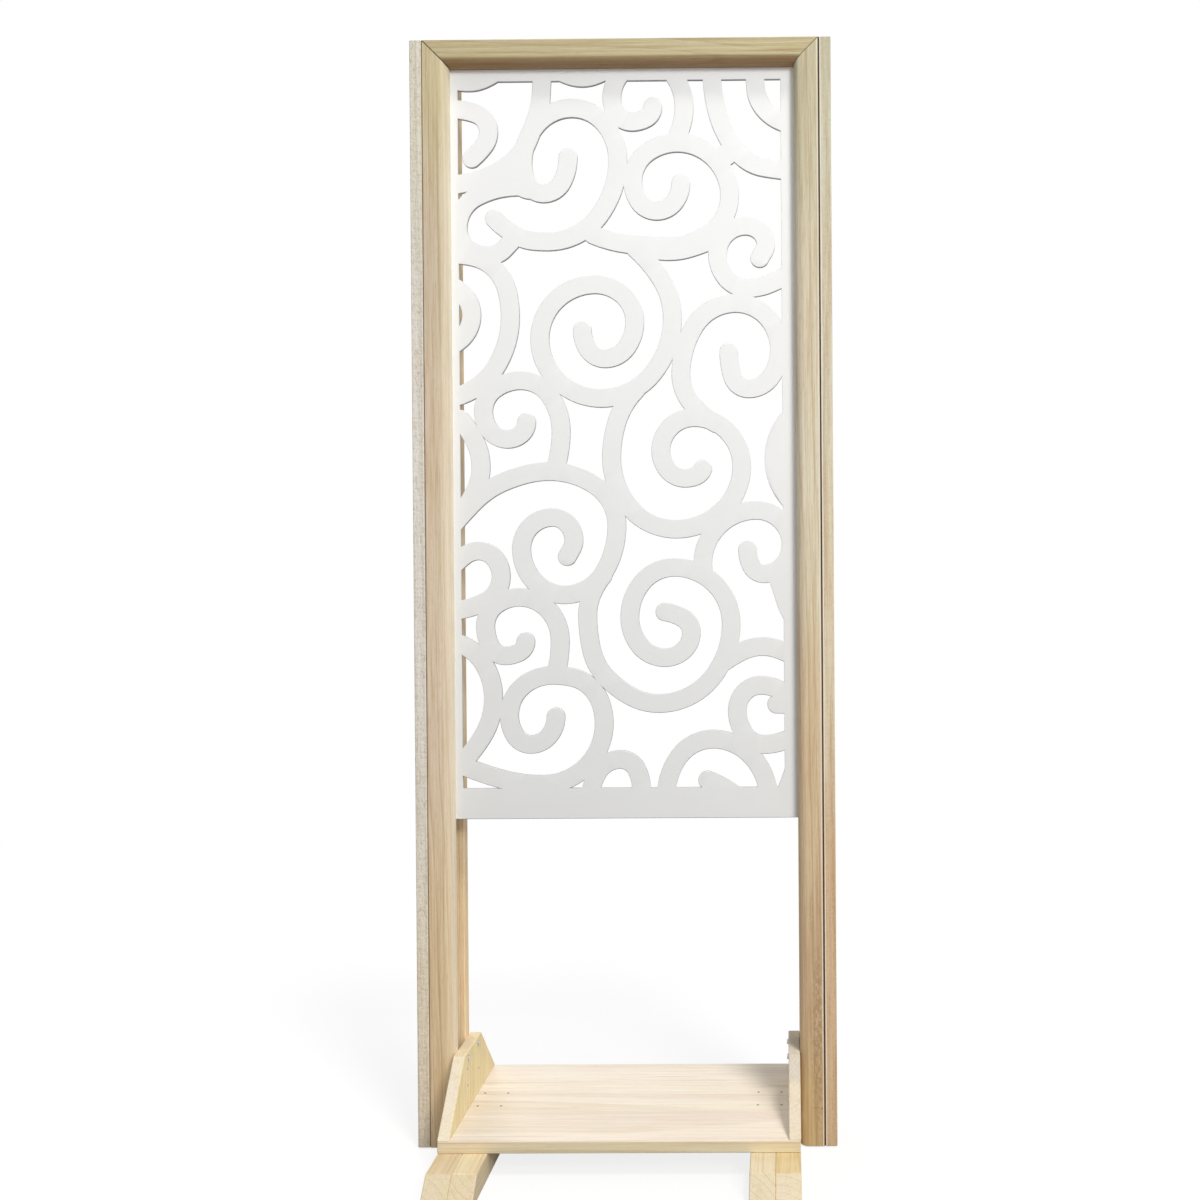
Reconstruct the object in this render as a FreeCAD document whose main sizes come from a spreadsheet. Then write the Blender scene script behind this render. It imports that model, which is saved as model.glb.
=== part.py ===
"""Free-standing timber screen: a scroll-cut white panel in a moulded frame, over a planter shelf on two feet.

Frame: X to the right seen from the front, Y from front to back, Z up. The origin is on the floor, in the
middle of the base. Millimetres.
"""
import FreeCAD, Part
import math
import os
import Sketcher

doc = FreeCAD.newDocument("scroll_screen")

# Driving dimensions
SIZES = {
    "panel_width": 600,
    "panel_height": 1200,
    "panel_thick": 6,
    "panel_border": 48,
    "panel_top_gap": 8,
    "panel_play_left": 1,
    "panel_play_right": 11,
    "scroll_band": 29,
    "smallest_opening": 30,
    "frame_top": 1715,
    "frame_depth": 90,
    "frame_set_back": 15,
    "frame_lift": 2,
    "side_board_thick": 19,
    "moulding_width": 38,
    "moulding_thick": 23,
    "moulding_round": 14,
    "mitre_gap": 0.5,
    "batten_width": 30,
    "shelf_front_width": 190,
    "shelf_rear_width": 90,
    "shelf_seam": 1,
    "shelf_thick": 18,
    "base_play": 0.5,
    "cheek_height": 90,
    "cheek_thick": 18,
    "foot_rail_width": 37,
    "foot_rail_height": 38,
    "foot_length": 435,
    "foot_toe": 4,
    "arris": 1.2,
    "hole_play": 0.1,
    "screw_head": 8,
    "screw_head_high": 2.4,
    "screw_shank": 4,
    "screw_cross_long": 5,
    "screw_cross_wide": 1.2,
    "screw_cross_deep": 1.3,
    "cheek_screw_long": 45,
    "cheek_screw_gap": 60,
    "cheek_screw_drop": 10,
    "panel_screw_bite": 10,
    "panel_screw_end": 60,
    "panel_top_screw_gap": 180,
    "nail_head": 3.6,
    "nail_head_high": 1,
    "nail_shank": 2,
    "nail_long": 36,
    "brad_long": 46,
    "mitre_brad_long": 56,
    "brad_inset": 7,
    "brad_above_cheek": 60,
    "brad_below_top": 100,
    "mitre_brad_drop": 12,
    "cheek_nail_drop": 26,
    "shelf_nail_edge": 8,
    "shelf_nail_front_row": 70,
    "shelf_nail_back_row": 23,
}

sheet = doc.addObject("Spreadsheet::Sheet", "sizes")
for row, (name, value) in enumerate(SIZES.items(), start=1):
    sheet.set(f"A{row}", name)
    sheet.set(f"B{row}", str(value))
    sheet.setAlias(f"B{row}", name)
doc.recompute()


def sized(text):
    """An expression on the sheet: every size name in the text is read from its cell."""
    words = []
    word = ""
    for letter in text + " ":
        if letter.isalnum() or letter == "_":
            word += letter
            continue
        words.append("sizes." + word if word in SIZES else word)
        words.append(letter)
        word = ""
    return "".join(words).strip()


def value_of(text):
    """The number that an expression on the sheet gives now."""
    return float(sheet.evalExpression(sized(text)))


# Places that several pieces share, as expressions on the sheet
CHANNEL = "((panel_width + panel_play_left + panel_play_right) / 2)"
PANEL_LEFT = f"(panel_play_left - {CHANNEL})"
PANEL_RIGHT = f"({CHANNEL} - panel_play_right)"
FRAME_SIDE = f"({CHANNEL} + side_board_thick)"
OPENING = f"({CHANNEL} - moulding_width)"
FRONT = "(frame_set_back - frame_depth / 2)"
BACK = "(frame_set_back + frame_depth / 2)"
PANEL_TOP = "(frame_top - panel_top_gap)"
PANEL_BOTTOM = f"({PANEL_TOP} - panel_height)"
PANEL_FRONT = f"({FRONT} + moulding_thick)"
PANEL_BACK = f"({PANEL_FRONT} + panel_thick)"
BATTEN_BACK = f"({BACK} - moulding_thick)"
RAIL_BOTTOM = "(frame_top - moulding_width)"
BATTEN_EDGE = f"({CHANNEL} - batten_width)"
BASE_END = f"({OPENING} - base_play)"
SHELF_DEPTH = "(shelf_front_width + shelf_seam + shelf_rear_width)"
SHELF_FRONT = f"(frame_set_back - {SHELF_DEPTH} / 2)"
SHELF_BACK = f"(frame_set_back + {SHELF_DEPTH} / 2)"
SHELF_TOP = "(foot_rail_height + shelf_thick)"
CHEEK_TOP = f"({SHELF_TOP} + cheek_height)"
FOOT_END = "(foot_length / 2)"
FOOT_SLOPE = "(foot_rail_height - foot_toe)"
MOULDING_MID = "(frame_depth / 2 - moulding_thick / 2)"
BRAD_LINE = "(frame_depth / 2 - brad_inset)"

nodes = []


def keep(piece, label):
    """Mark a document object as a finished sub-part under its node's name."""
    piece.Label = label
    nodes.append(piece)
    return piece


def origin_plane(body, role):
    return next(plane for plane in body.Origin.OriginFeatures if plane.Role == role)


def outline_sketch(body, role, offset, corners):
    """A closed outline on an origin plane of the body, each corner bound to the sheet."""
    sketch = body.newObject("Sketcher::SketchObject", "outline")
    sketch.AttachmentSupport = [(origin_plane(body, role), "")]
    sketch.MapMode = "FlatFace"
    sketch.setExpression("AttachmentOffset.Base.z", sized(offset))
    points = [FreeCAD.Vector(value_of(x), value_of(y), 0) for x, y in corners]
    count = len(points)
    for i in range(count):
        sketch.addGeometry(Part.LineSegment(points[i], points[(i + 1) % count]))
    for i in range(count):
        sketch.addConstraint(Sketcher.Constraint("Coincident", i, 2, (i + 1) % count, 1))
    for i, (x, y) in enumerate(corners):
        for kind, text, size in (("DistanceX", x, points[i].x), ("DistanceY", y, points[i].y)):
            number = sketch.addConstraint(Sketcher.Constraint(kind, -1, 1, i, 1, size))
            sketch.setExpression(f"Constraints[{number}]", sized(text))
    return sketch


def slab(name, role, corners, start, thick):
    """A body padded from an outline: YZ outlines run along X from start, XZ outlines along Y."""
    body = doc.addObject("PartDesign::Body", name)
    offset = start if role == "YZ_Plane" else f"-({start} + {thick})"
    sketch = outline_sketch(body, role, offset, corners)
    pad = body.newObject("PartDesign::Pad", "pad")
    pad.Profile = sketch
    pad.setExpression("Length", sized(thick))
    doc.recompute()
    return body, pad


def eased(body, base):
    """Take the sharp arrises off every edge of a board."""
    ease = body.newObject("PartDesign::Chamfer", "eased_arrises")
    ease.Base = (base, ["Edge1"])
    ease.UseAllEdges = True
    ease.setExpression("Size", sized("arris"))
    body.Tip = ease
    doc.recompute()


def box_corners(low_a, high_a, low_b, high_b):
    return [(low_a, low_b), (high_a, low_b), (high_a, high_b), (low_a, high_b)]


def edges_at(shape, **place):
    """Names of the edges whose ends all lie at the given coordinates."""
    found = []
    for i, edge in enumerate(shape.Edges, start=1):
        ends = [vertex.Point for vertex in edge.Vertexes]
        if all(abs(getattr(end, axis) - value) < 1e-4 for end in ends for axis, value in place.items()):
            found.append(f"Edge{i}")
    return found


# Fasteners: a master of each kind stands at the origin, its head at the top and its shank down -Z.
def pin_shape(head, head_high, shank, length, sunk):
    """A headed pin: a sunk head lies below the surface at the origin, a proud one stands on it."""
    top = 0 if sunk else head_high
    head_part = Part.makeCylinder(head / 2, head_high, FreeCAD.Vector(0, 0, top - head_high))
    shank_part = Part.makeCylinder(shank / 2, length, FreeCAD.Vector(0, 0, top - head_high - length))
    pin = head_part.fuse(shank_part).removeSplitter()
    if sunk:
        return pin
    long = value_of("screw_cross_long")
    wide = value_of("screw_cross_wide")
    deep = value_of("screw_cross_deep")
    cross = ((long, wide), (wide, long))
    slots = [Part.makeBox(x, y, deep, FreeCAD.Vector(-x / 2, -y / 2, top - deep)) for x, y in cross]
    return pin.cut(slots)


def drill_shape(head, head_high, shank, length, sunk):
    """The hole for such a pin: as long as the pin, wider all round, and open at the surface."""
    play = value_of("hole_play")
    depth = head_high if sunk else 0
    bore = Part.makeCylinder(shank / 2 + play, length + play, FreeCAD.Vector(0, 0, -depth - length - play))
    if not sunk:
        return bore
    seat = Part.makeCylinder(head / 2 + play, head_high + play, FreeCAD.Vector(0, 0, -head_high))
    return bore.fuse(seat).removeSplitter()


def aimed(shape, place, inward):
    """A copy of a fastener with its surface point at place and its shank along inward."""
    turn = FreeCAD.Rotation(FreeCAD.Vector(0, 0, -1), FreeCAD.Vector(*inward))
    copy = shape.copy()
    copy.Placement = FreeCAD.Placement(FreeCAD.Vector(*place), turn)
    return copy


class Fixing:
    """One kind of fastener: its sizes, and every place it is driven at with its direction."""

    def __init__(self, label, sizes, sunk, places):
        self.label = label
        self.sizes = [value_of(text) for text in sizes]
        self.sunk = sunk
        self.places = places

    def pins(self):
        shape = pin_shape(*self.sizes, self.sunk)
        return [aimed(shape, place, inward) for place, inward in self.places]

    def drills(self):
        shape = drill_shape(*self.sizes, self.sunk)
        return [aimed(shape, place, inward) for place, inward in self.places]


def spread(low, high, count):
    """Evenly spaced values from low to high."""
    return [low + (high - low) * i / (count - 1) for i in range(count)]


SIDES = {"left": -1, "right": 1}
FACES = {"front": -1, "back": 1}

FRAME_BRAD_ROWS = 6
PANEL_SCREW_ROWS = 4
PANEL_TOP_SCREWS = 3
# Each nail of a cheek: towards the front or the back, and how many drops below the top edge
CHEEK_NAIL_SPOTS = (("front", 1), ("front", 2), ("back", 2))


def both_faces(reach):
    """The Y of a pair of fasteners: at that reach in front of the frame's middle and behind it."""
    middle = value_of("frame_set_back")
    return {face: middle + turned * value_of(reach) for face, turned in FACES.items()}


def frame_brad_places():
    low = value_of(f"{CHEEK_TOP} + brad_above_cheek")
    high = value_of("frame_top - brad_below_top")
    x = value_of(FRAME_SIDE)
    lines = both_faces(BRAD_LINE)
    return [((side * x, y, z), (-side, 0, 0))
            for side in SIDES.values() for y in lines.values() for z in spread(low, high, FRAME_BRAD_ROWS)]


def mitre_brad_places():
    x = value_of(FRAME_SIDE)
    y = both_faces(BRAD_LINE)["front"]
    z = value_of("frame_top - mitre_brad_drop")
    return [((side * x, y, z), (-side, 0, 0)) for side in SIDES.values()]


def panel_screw_places():
    y = value_of(BATTEN_BACK)
    columns = [value_of(f"({PANEL_LEFT} - {BATTEN_EDGE}) / 2"),
               value_of(f"({PANEL_RIGHT} + {BATTEN_EDGE}) / 2")]
    low = value_of(f"{PANEL_BOTTOM} + panel_screw_end")
    high = value_of(f"{PANEL_TOP} - panel_screw_end")
    rows = spread(low, high, PANEL_SCREW_ROWS)
    sides = [((x, y, z), (0, -1, 0)) for x in columns for z in rows]
    top = value_of(f"({PANEL_TOP} + frame_top - batten_width) / 2")
    reach = value_of("panel_top_screw_gap")
    return sides + [((x, y, top), (0, -1, 0)) for x in spread(-reach, reach, PANEL_TOP_SCREWS)]


def cheek_screw_places():
    x = value_of(f"{OPENING} - cheek_thick")
    lines = both_faces("cheek_screw_gap / 2")
    z = value_of(f"{CHEEK_TOP} - cheek_screw_drop")
    return [((side * x, y, z), (side, 0, 0)) for side in SIDES.values() for y in lines.values()]


def cheek_nail_places():
    x = value_of(f"{OPENING} - cheek_thick")
    lines = both_faces(MOULDING_MID)
    top = value_of(CHEEK_TOP)
    drop = value_of("cheek_nail_drop")
    return [((side * x, lines[face], top - drop * drops), (side, 0, 0))
            for side in SIDES.values() for face, drops in CHEEK_NAIL_SPOTS]


def shelf_nail_places():
    z = value_of(SHELF_TOP)
    seam = f"{SHELF_FRONT} + shelf_front_width"
    rows = [value_of(f"{seam} - {row}") for row in ("shelf_nail_front_row", "shelf_nail_back_row")]
    columns = [value_of(f"{BASE_END} - {rails} * foot_rail_width + shelf_nail_edge") for rails in (1, 2)]
    return [((side * x, y, z), (0, 0, -1)) for side in SIDES.values() for x in columns for y in rows]


SCREW = ("screw_head", "screw_head_high", "screw_shank")
NAIL = ("nail_head", "nail_head_high", "nail_shank")
PANEL_SCREW_LONG = f"{BATTEN_BACK} - {PANEL_FRONT} + panel_screw_bite - screw_head_high"
frame_brads = Fixing("frame_brads", (*NAIL, "brad_long"), True, frame_brad_places())
mitre_brads = Fixing("mitre_brads", (*NAIL, "mitre_brad_long"), True, mitre_brad_places())
panel_screws = Fixing("panel_screws", (*SCREW, PANEL_SCREW_LONG), True, panel_screw_places())
cheek_screws = Fixing("cheek_screws", (*SCREW, "cheek_screw_long"), False, cheek_screw_places())
cheek_nails = Fixing("cheek_nails", (*NAIL, "nail_long"), True, cheek_nail_places())
shelf_nails = Fixing("shelf_nails", (*NAIL, "nail_long"), True, shelf_nail_places())


def drilled(body, label, *fixings):
    """Cut the holes of the fixings that pass through a body, and keep the result under its name."""
    reach = body.Shape.BoundBox
    drills = [drill for fixing in fixings for drill in fixing.drills() if reach.intersect(drill.BoundBox)]
    tool = doc.addObject("Part::Feature", label + "_drills")
    tool.Shape = Part.makeCompound(drills)
    cut = doc.addObject("Part::Cut", label + "_drilled")
    cut.Base = body
    cut.Tool = tool
    body.Label = label + "_blank"
    doc.recompute()
    return keep(cut, label)


# Side boards: the outer edges of the frame
for side, sign in SIDES.items():
    start = CHANNEL if sign > 0 else f"-{FRAME_SIDE}"
    body, pad = slab(f"side_board_{side}", "YZ_Plane", box_corners(FRONT, BACK, "frame_lift", "frame_top"),
                     start, "side_board_thick")
    eased(body, pad)
    drilled(body, f"side_board_{side}", frame_brads, mitre_brads)


def rounded_over(body, pad, edges, seam):
    """Round a moulding's edge along the opening and ease the edge along its seam with the side board."""
    over = body.newObject("PartDesign::Fillet", "round_over")
    over.Base = (pad, edges)
    over.setExpression("Radius", sized("moulding_round"))
    body.Tip = over
    doc.recompute()
    ease = body.newObject("PartDesign::Chamfer", "eased_seam")
    ease.Base = (over, edges_at(over.Shape, **seam))
    ease.setExpression("Size", sized("arris"))
    body.Tip = ease
    doc.recompute()


# Stiles: rounded mouldings at the front, mitred to a top rail, and square ones at the back
for face, turned in FACES.items():
    start = FRONT if turned < 0 else BATTEN_BACK
    for side, sign in SIDES.items():
        near = f"{sign} * {OPENING}"
        far = f"{sign} * {CHANNEL}"
        top = RAIL_BOTTOM if turned < 0 else "frame_top"
        corners = [(near, "frame_lift"), (far, "frame_lift"), (far, "frame_top"), (near, top)]
        body, pad = slab(f"{face}_stile_{side}", "XZ_Plane", corners, start, "moulding_thick")
        if turned < 0:
            edges = edges_at(pad.Shape, x=value_of(near), y=value_of(FRONT))
            rounded_over(body, pad, edges, {"x": value_of(far), "y": value_of(FRONT)})
        else:
            eased(body, pad)
        drilled(body, f"{face}_stile_{side}", frame_brads, mitre_brads, panel_screws, cheek_screws,
                cheek_nails)
inner = f"({OPENING} - mitre_gap)"
outer = f"({CHANNEL} - mitre_gap)"
corners = [(f"-{inner}", RAIL_BOTTOM), (inner, RAIL_BOTTOM), (outer, "frame_top"), (f"-{outer}", "frame_top")]
body, pad = slab("front_top_rail", "XZ_Plane", corners, FRONT, "moulding_thick")
edges = edges_at(pad.Shape, z=value_of(RAIL_BOTTOM), y=value_of(FRONT))
rounded_over(body, pad, edges, {"z": value_of("frame_top"), "y": value_of(FRONT)})
drilled(body, "front_top_rail", mitre_brads, panel_screws)

# Battens: fill the channel behind the panel and press it against the front mouldings
for side, sign in SIDES.items():
    start = BATTEN_EDGE if sign > 0 else f"-{CHANNEL}"
    body, pad = slab(f"panel_batten_{side}", "YZ_Plane",
                     box_corners(PANEL_BACK, BATTEN_BACK, PANEL_BOTTOM, "frame_top"), start, "batten_width")
    drilled(body, f"panel_batten_{side}", panel_screws)
body, pad = slab("panel_batten_top", "YZ_Plane",
                 box_corners(PANEL_BACK, BATTEN_BACK, "frame_top - batten_width", "frame_top"),
                 f"-{BATTEN_EDGE}", f"2 * {BATTEN_EDGE}")
drilled(body, "panel_batten_top", panel_screws)


def shelf_board(label, low, high):
    body, pad = slab(label, "YZ_Plane", box_corners(low, high, "foot_rail_height", SHELF_TOP),
                     f"-{BASE_END}", f"2 * {BASE_END}")
    eased(body, pad)
    return body


# Shelf: a wide board, nailed to the feet, in front of a narrow one that is glued to them
nailed_board = shelf_board("shelf_front_board", SHELF_FRONT, f"{SHELF_FRONT} + shelf_front_width")
drilled(nailed_board, "shelf_front_board", shelf_nails)
keep(shelf_board("shelf_rear_board", f"{SHELF_BACK} - shelf_rear_width", SHELF_BACK), "shelf_rear_board")

# Cheeks: boards on edge along the shelf ends, their ends cut at 45 degrees
for side, sign in SIDES.items():
    start = f"{OPENING} - cheek_thick" if sign > 0 else f"-{OPENING}"
    corners = [(SHELF_FRONT, SHELF_TOP), (SHELF_BACK, SHELF_TOP),
               (f"{SHELF_BACK} - cheek_height", CHEEK_TOP), (f"{SHELF_FRONT} + cheek_height", CHEEK_TOP)]
    body, pad = slab(f"cheek_{side}", "YZ_Plane", corners, start, "cheek_thick")
    eased(body, pad)
    drilled(body, f"cheek_{side}", cheek_screws, cheek_nails)

# Feet: two rails side by side under each end of the shelf, with sloped toes
FOOT_PROFILE = [
    (f"-{FOOT_END}", "0.0"), (FOOT_END, "0.0"), (FOOT_END, "foot_toe"),
    (f"{FOOT_END} - {FOOT_SLOPE}", "foot_rail_height"), (f"-{FOOT_END} + {FOOT_SLOPE}", "foot_rail_height"),
    (f"-{FOOT_END}", "foot_toe"),
]
for side, sign in SIDES.items():
    for place, rails_in in {"outer": 1, "inner": 2}.items():
        start = f"{BASE_END} - {rails_in} * foot_rail_width" if sign > 0 else (
            f"-{BASE_END} + {rails_in - 1} * foot_rail_width")
        body, pad = slab(f"foot_{side}_{place}", "YZ_Plane", FOOT_PROFILE, start, "foot_rail_width")
        eased(body, pad)
        drilled(body, f"foot_{side}_{place}", shelf_nails)

# Fasteners, one node for each kind
for fixing in (frame_brads, mitre_brads, panel_screws, cheek_nails, shelf_nails, cheek_screws):
    group = doc.addObject("Part::Feature", fixing.label + "_group")
    group.Shape = Part.makeCompound(fixing.pins())
    keep(group, fixing.label)

# Scroll panel. Each band is drawn by the turning points of its centreline, (right, down, heading): from the
# window's top left corner, in thousandths of its width and of its height. Heading 0 points right, 90 down.
BANDS = {
    "hook_top_left": [(-24, 38, 0), (95, 70, 90), (42, 108, 140)],
    "sag_left": [(-28, -2, 0), (36, 0, 0), (119, -14, 325)],
    "sag_middle": [(298, -18, 25), (387, -5, 0), (476, -18, 335)],
    "tie_left": [(-28, 146, 352), (115, 129, 333), (194, 101, 310), (229, 70, 291), (259, 20, 273),
                 (262, -13, 270)],
    "web_left": [(110, 140, 345), (190, 121, 322)],
    "scroll_top_left": [(341, 107, 90), (264, 158, 180), (200, 116, 270), (353, 38, 0), (495, 111, 90),
                        (278, 226, 180), (183, 218, 210), (111, 193, 228)],
    "leaf": [(222, 153, 184), (183, 148, 180), (-3, 206, 90), (95, 245, 0), (179, 217, 312)],
    "scroll_top_middle": [(605, 37, 90), (540, 58, 180), (478, 24, 270), (589, -27, 0), (702, 38, 90),
                          (676, 84, 116)],
    "scroll_upper": [(690, 145, 90), (615, 184, 180), (541, 142, 270), (679, 88, 0), (841, 163, 90),
                     (655, 234, 180), (417, 217, 203)],
    "tie_upper": [(575, 237, 10), (655, 241, 0), (778, 227, 338)],
    "corner_outer": [(788, -13, 90), (869, 103, 50), (1042, 129, 3)],
    "web_corner": [(826, 105, 45), (833, 108, 45)],
    "corner_inner": [(922, -13, 90), (923, 9, 88), (1032, 63, 10)],
    "curl_right": [(933, 252, 300), (952, 232, 270), (889, 206, 180), (802, 246, 90), (897, 294, 0),
                   (1032, 274, 335)],
    "scroll_large": [(381, 352, 90), (452, 392, 0), (544, 340, 270), (421, 287, 180), (249, 364, 90),
                     (440, 448, 0), (661, 335, 270), (548, 237, 222)],
    "lens_left": [(-32, 286, 20), (38, 329, 90), (-32, 373, 160)],
    "arc_left": [(-28, 243, 0), (109, 263, 45), (158, 331, 90), (-28, 446, 170)],
    "scroll_right": [(835, 384, 90), (897, 436, 0), (992, 380, 270), (857, 315, 180), (686, 415, 90),
                     (794, 485, 30)],
    "scroll_middle": [(752, 549, 110), (698, 562, 180), (622, 523, 270), (726, 476, 0), (873, 545, 90),
                      (669, 634, 180), (469, 533, 270), (546, 437, 315)],
    "bulge_right": [(1040, 470, 140), (973, 536, 90), (1040, 602, 40)],
    "curl_left": [(206, 481, 90), (147, 505, 180), (72, 466, 270), (188, 422, 0), (313, 494, 90),
                  (296, 546, 105)],
    "bow_left": [(0, 476, 50), (63, 543, 90), (0, 609, 130)],
    "scroll_arch": [(329, 672, 300), (350, 649, 270), (284, 616, 180), (187, 661, 90), (321, 726, 0),
                    (484, 628, 270), (274, 551, 180), (131, 566, 157), (-28, 628, 130)],
    "arch_left": [(-28, 685, 315), (54, 663, 0), (123, 699, 90), (-28, 748, 175)],
    "curl_low_left": [(198, 792, 90), (135, 812, 180), (73, 770, 270), (179, 729, 0), (305, 790, 90),
                      (290, 838, 108)],
    "bow_low_left": [(-28, 792, 12), (96, 871, 90), (-28, 975, 138)],
    "scroll_low_left": [(290, 899, 90), (212, 938, 180), (145, 897, 270), (280, 840, 0), (398, 857, 45),
                        (440, 908, 90), (248, 995, 180), (-28, 963, 203)],
    "arch_bottom": [(397, 1013, 270), (490, 960, 0), (554, 1001, 90), (554, 1013, 90)],
    "scroll_low": [(631, 751, 8), (713, 781, 90), (631, 816, 180), (522, 759, 270), (661, 688, 0),
                   (837, 768, 90), (611, 881, 180), (452, 846, 225), (391, 756, 270),
                   (440, 699, 310)],
    "curl_low_right": [(889, 664, 90), (940, 698, 0), (1024, 657, 270), (917, 608, 180), (750, 684, 90),
                       (752, 694, 86)],
    "tail_right": [(984, 697, 90), (1004, 734, 74), (1042, 770, 60)],
    "sweep_right": [(817, 822, 325), (933, 801, 0), (1042, 817, 25)],
    "hook_low_right": [(1042, 875, 203), (927, 856, 180), (854, 892, 90), (937, 940, 0), (1042, 928, 340)],
    "tip_low_right": [(976, 883, 0), (1042, 883, 0)],
    "arch_low_right": [(631, 1014, 270), (778, 932, 0), (944, 996, 76), (952, 1014, 80)],
    "tip_bottom": [(760, 990, 20), (853, 1014, 35)],
    "tip_corner": [(1036, 965, 105), (1004, 1007, 112)],
}


def biarc(start, start_way, end, end_way):
    """Two arcs that leave start along start_way, arrive at end along end_way and meet smoothly."""
    across = end - start
    ways = start_way + end_way
    along = across.dot(ways)
    bend = 2 * (1 - start_way.dot(end_way))
    if abs(bend) < 1e-9:
        reach = across.dot(across) / (2 * along)
    else:
        reach = (math.sqrt(along * along + bend * across.dot(across)) - along) / bend
    first = start + start_way * reach
    last = end - end_way * reach
    joint = (first + last) * 0.5
    joint_way = (last - first).normalize()
    return (start, start_way, joint), (joint, joint_way, end)


def side_edge(start, way, end, offset):
    """The edge that runs beside the arc from start to end, at offset to the left of its way."""
    left = FreeCAD.Vector(-way.z, 0, way.x)
    across = end - start
    rise = across.dot(left)
    if abs(rise) < 1e-6:
        return Part.LineSegment(start + left * offset, end + left * offset)
    radius = across.dot(across) / (2 * rise)
    centre = start + left * radius
    shrink = 1 - offset / radius
    middle = (start + end) * 0.5 - centre
    if middle.Length < 1e-6:
        middle = way * abs(radius)
    else:
        middle = middle.normalize() * abs(radius)
    if (start - centre).dot(way) + middle.dot(way) < 0:
        middle = middle * -1
    points = [centre + (start - centre) * shrink, centre + middle * shrink, centre + (end - centre) * shrink]
    return Part.Arc(*points)


def cap(tip, way, half):
    """The half circle that closes a band at its tip, from the left of its way to the right."""
    left = FreeCAD.Vector(-way.z, 0, way.x)
    return Part.Arc(tip + left * half, tip + way * half, tip - left * half)


def band_face(points, window_left, window_top, window_wide, window_tall, width):
    """A flat band of constant width along the smooth line through its turning points, with round tips."""
    places = []
    ways = []
    for right, down, heading in points:
        angle = math.radians(heading)
        places.append(FreeCAD.Vector(window_left + window_wide * right / 1000, 0,
                                     window_top - window_tall * down / 1000))
        ways.append(FreeCAD.Vector(math.cos(angle), 0, -math.sin(angle)))
    arcs = []
    for i in range(len(places) - 1):
        arcs += biarc(places[i], ways[i], places[i + 1], ways[i + 1])
    half = width / 2
    left_run = [side_edge(*arc, half).toShape() for arc in arcs]
    right_run = [side_edge(*arc, -half).toShape() for arc in arcs]
    caps = [cap(places[-1], ways[-1], half).toShape(), cap(places[0], ways[0] * -1, half).toShape()]
    edges = Part.sortEdges(left_run + right_run + caps)[0]
    return Part.Face(Part.Wire(edges))


def flat_rectangle(low_x, high_x, low_z, high_z):
    corners = [FreeCAD.Vector(low_x, 0, low_z), FreeCAD.Vector(high_x, 0, low_z),
               FreeCAD.Vector(high_x, 0, high_z), FreeCAD.Vector(low_x, 0, high_z)]
    return Part.Face(Part.makePolygon(corners + corners[:1]))


panel_left = value_of(PANEL_LEFT)
panel_right = value_of(PANEL_RIGHT)
panel_low = value_of(PANEL_BOTTOM)
panel_high = value_of(PANEL_TOP)
border = value_of("panel_border")
window_wide = panel_right - panel_left - 2 * border
window_tall = panel_high - panel_low - 2 * border
window = flat_rectangle(panel_left + border, panel_right - border, panel_low + border, panel_high - border)
sheet_face = flat_rectangle(panel_left, panel_right, panel_low, panel_high)
bands = [band_face(points, panel_left + border, panel_high - border, window_wide, window_tall,
                   value_of("scroll_band")) for points in BANDS.values()]
scrollwork = bands[0].multiFuse(bands[1:])
openings = [face for face in window.cut(scrollwork).Faces if face.Area > value_of("smallest_opening")]
fretwork = sheet_face.cut(Part.makeCompound(openings)).extrude(FreeCAD.Vector(0, value_of("panel_thick"), 0))
fretwork.translate(FreeCAD.Vector(0, value_of(PANEL_FRONT), 0))
panel_blank = doc.addObject("Part::Feature", "scroll_panel_sheet")
panel_blank.Shape = fretwork.Solids[0] if len(fretwork.Solids) == 1 else fretwork
drilled(panel_blank, "scroll_panel", panel_screws)

# Everything has to be sound before it is written
doc.recompute()
for piece in doc.Objects:
    if "Invalid" in piece.State or "Error" in piece.State:
        raise RuntimeError(f"{piece.Label} failed: {piece.State}")
for piece in nodes:
    if piece.Shape.isNull() or not piece.Shape.isValid() or not piece.Shape.Solids:
        raise RuntimeError(f"{piece.Label} has no sound shape")
os.makedirs("parts", exist_ok=True)
for piece in nodes:
    piece.Shape.exportStep(f"parts/{piece.Label}.step")
    print(piece.Label, len(piece.Shape.Solids), round(piece.Shape.Volume / 1000, 1), "cm3")
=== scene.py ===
"""Looks of the timber screen: softened timbers, satin white fretwork, screws and nails, on a pale floor."""
import math

import bmesh
import bpy
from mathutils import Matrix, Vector


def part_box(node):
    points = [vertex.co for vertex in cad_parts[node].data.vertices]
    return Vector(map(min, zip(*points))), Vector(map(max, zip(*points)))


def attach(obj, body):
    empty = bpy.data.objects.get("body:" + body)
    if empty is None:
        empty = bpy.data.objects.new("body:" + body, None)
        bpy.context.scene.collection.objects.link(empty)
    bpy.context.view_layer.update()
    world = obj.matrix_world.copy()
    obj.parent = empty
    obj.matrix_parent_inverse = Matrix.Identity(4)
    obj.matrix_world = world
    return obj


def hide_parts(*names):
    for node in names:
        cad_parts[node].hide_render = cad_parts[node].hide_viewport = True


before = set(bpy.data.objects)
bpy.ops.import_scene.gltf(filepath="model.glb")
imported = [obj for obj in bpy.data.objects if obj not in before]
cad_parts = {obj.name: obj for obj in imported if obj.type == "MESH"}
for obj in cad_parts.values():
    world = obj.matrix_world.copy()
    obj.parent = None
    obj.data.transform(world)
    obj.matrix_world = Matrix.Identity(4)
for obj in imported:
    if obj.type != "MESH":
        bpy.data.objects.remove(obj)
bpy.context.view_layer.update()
scene = bpy.context.scene
scene.view_settings.view_transform = "Standard"
X, Y, Z = range(3)


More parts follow.
